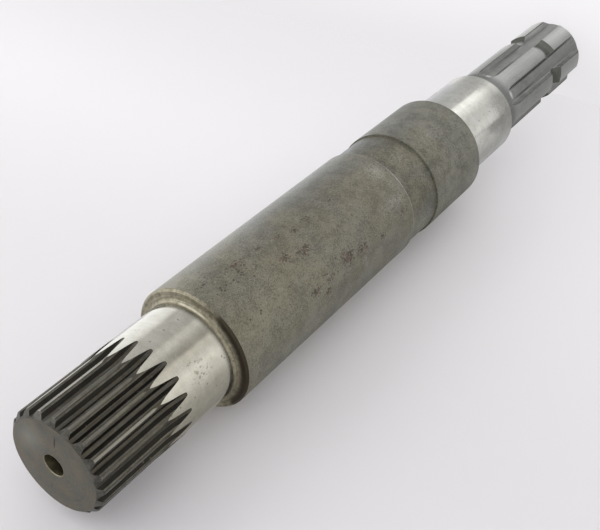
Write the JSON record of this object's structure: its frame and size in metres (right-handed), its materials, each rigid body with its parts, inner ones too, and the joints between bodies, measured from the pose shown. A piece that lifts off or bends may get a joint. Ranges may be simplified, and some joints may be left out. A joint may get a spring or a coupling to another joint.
{
  "type": "splined shaft",
  "caption": "Stepped one-piece steel power take-off shaft: toothed drive stub with a locking groove, ground bearing seats, thick dark body, recessed band and a fine spline on the other end.",
  "frame": {"origin": "centre of the end face of the power take-off stub, on which the shaft stands", "axes": "+Z along the shaft's axis from the power take-off stub to the fine spline, +X through the middle of one drive tooth"},
  "size_m": [0.0492, 0.0492, 0.3742],
  "materials": {
    "steel": "dark mill scale on the body, ground bright on the seats, milled satin on the teeth"
  },
  "bodies": {
    "root": {"splined_shaft": "steel"}
  },
  "joints": []
}
